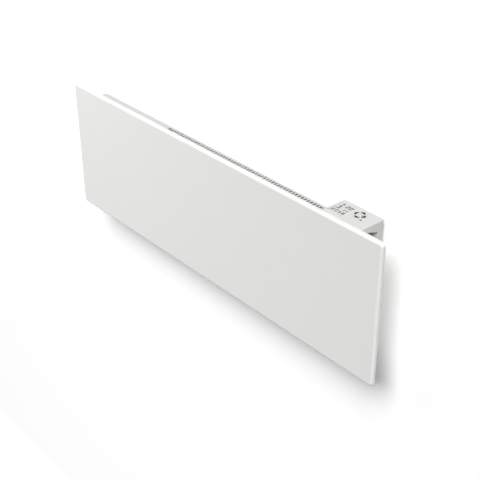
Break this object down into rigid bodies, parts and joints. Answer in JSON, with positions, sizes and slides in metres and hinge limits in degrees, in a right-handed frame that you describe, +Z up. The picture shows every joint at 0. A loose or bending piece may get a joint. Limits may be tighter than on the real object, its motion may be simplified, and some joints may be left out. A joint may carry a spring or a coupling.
{
  "type": "wall panel convector heater",
  "caption": "Slim wall-mounted electric panel heater: folded flat front, slotted casing behind it, control housing with display and keys at the top right, wall bracket with hooks.",
  "frame": {"origin": "centre of the four slotted wall-screw holes of the bracket, on the wall plane", "axes": "+X along the panel to the right as seen from the room, +Y into the wall, +Z up"},
  "size_m": [1.02, 0.088, 0.33],
  "materials": {
    "panel_enamel": "white epoxy-polyester powder coat, semi-matt",
    "casing_enamel": "white powder coat, fine texture",
    "zinc_steel": "bright zinc-plated",
    "galvanised": "hot-dip galvanised sheet, spangled",
    "bracket_enamel": "white powder coat",
    "bare_aluminium": "extruded, mill finish",
    "stainless": "drawn tube, heat-tinted",
    "ceramic": "unglazed steatite",
    "white_abs": "moulded, fine spark texture",
    "key_abs": "moulded, satin",
    "clear_window": "polished clear polycarbonate",
    "lcd_glass": "reflective liquid crystal cell",
    "board_laminate": "glass-epoxy with solder mask",
    "black_moulding": "moulded, satin",
    "relay_case": "moulded, satin",
    "block_nylon": "moulded polyamide",
    "gland_nylon": "moulded polyamide",
    "catch_nylon": "moulded polyamide",
    "wire_brown": "silicone insulation",
    "wire_blue": "silicone insulation",
    "wire_earth_green": "silicone insulation",
    "wire_black": "silicone insulation"
  },
  "bodies": {
    "wall_bracket": {"bracket_rail": "bracket_enamel", "bracket_rivets": "zinc_steel", "bracket_upright_left": "bracket_enamel", "bracket_upright_right": "bracket_enamel"},
    "heater": {"front_panel": "panel_enamel", "panel_rail_upper": "galvanised", "panel_rail_lower": "galvanised", "panel_screws": "zinc_steel", "outlet_grille": "casing_enamel", "inlet_grille": "casing_enamel", "back_plate": "casing_enamel", "end_plate_left": "casing_enamel", "end_plate_right": "casing_enamel", "casing_screws": "zinc_steel", "heating_element": "bare_aluminium", "heating_rod": "stainless", "element_bracket_left": "galvanised", "element_bracket_right": "galvanised", "rod_bush_left": "ceramic", "rod_bush_right": "ceramic", "thermal_cutout": "black_moulding", "heat_shield": "galvanised", "chassis_screws": "zinc_steel", "terminal_block": "block_nylon", "terminal_screws": "zinc_steel", "earth_screw": "zinc_steel", "hook_doubler_left": "galvanised", "hook_doubler_right": "galvanised", "catch_doubler_left": "galvanised", "catch_doubler_right": "galvanised", "cable_gland": "gland_nylon", "gland_nut": "gland_nylon", "control_cover": "white_abs", "control_base": "white_abs", "display_window": "clear_window", "lcd_module": "lcd_glass", "control_board": "board_laminate", "board_screws": "zinc_steel", "power_board": "board_laminate", "relay": "relay_case", "capacitor": "black_moulding", "room_sensor": "black_moulding", "key_switches": "black_moulding", "housing_screws": "zinc_steel", "wire_live": "wire_brown", "wire_neutral": "wire_blue", "wire_earth": "wire_earth_green", "wire_element_left": "wire_black", "wire_cutout": "wire_black", "wire_element_right": "wire_black"},
    "catch_left": {"catch_bolt_left": "zinc_steel", "catch_lever_left": "catch_nylon"},
    "catch_right": {"catch_bolt_right": "zinc_steel", "catch_lever_right": "catch_nylon"},
    "key_right": {"key_right": "key_abs"},
    "key_back": {"key_back": "key_abs"},
    "key_left": {"key_left": "key_abs"},
    "key_front": {"key_front": "key_abs"},
    "key_standby": {"key_standby": "key_abs"}
  },
  "joints": [
    {"name": "heater_lift", "type": "slide", "parent": "wall_bracket", "child": "heater", "axis": [0, 0, 1], "range_m": [0, 0.012]},
    {"name": "catch_left_turn", "type": "hinge", "parent": "wall_bracket", "child": "catch_left", "pos_m": [-0.21, -0.0355, -0.096], "axis": [0, 1, 0], "range_deg": [0, 90]},
    {"name": "catch_right_turn", "type": "hinge", "parent": "wall_bracket", "child": "catch_right", "pos_m": [0.21, -0.0355, -0.096], "axis": [0, -1, 0], "range_deg": [0, 90]},
    {"name": "key_right_press", "type": "slide", "parent": "heater", "child": "key_right", "axis": [0, 0, -1], "range_m": [0, 0.0006], "stiffness_N_per_m": 600},
    {"name": "key_back_press", "type": "slide", "parent": "heater", "child": "key_back", "axis": [0, 0, -1], "range_m": [0, 0.0006], "stiffness_N_per_m": 600},
    {"name": "key_left_press", "type": "slide", "parent": "heater", "child": "key_left", "axis": [0, 0, -1], "range_m": [0, 0.0006], "stiffness_N_per_m": 600},
    {"name": "key_front_press", "type": "slide", "parent": "heater", "child": "key_front", "axis": [0, 0, -1], "range_m": [0, 0.0006], "stiffness_N_per_m": 600},
    {"name": "key_standby_press", "type": "slide", "parent": "heater", "child": "key_standby", "axis": [0, 0, -1], "range_m": [0, 0.0006], "stiffness_N_per_m": 600}
  ]
}
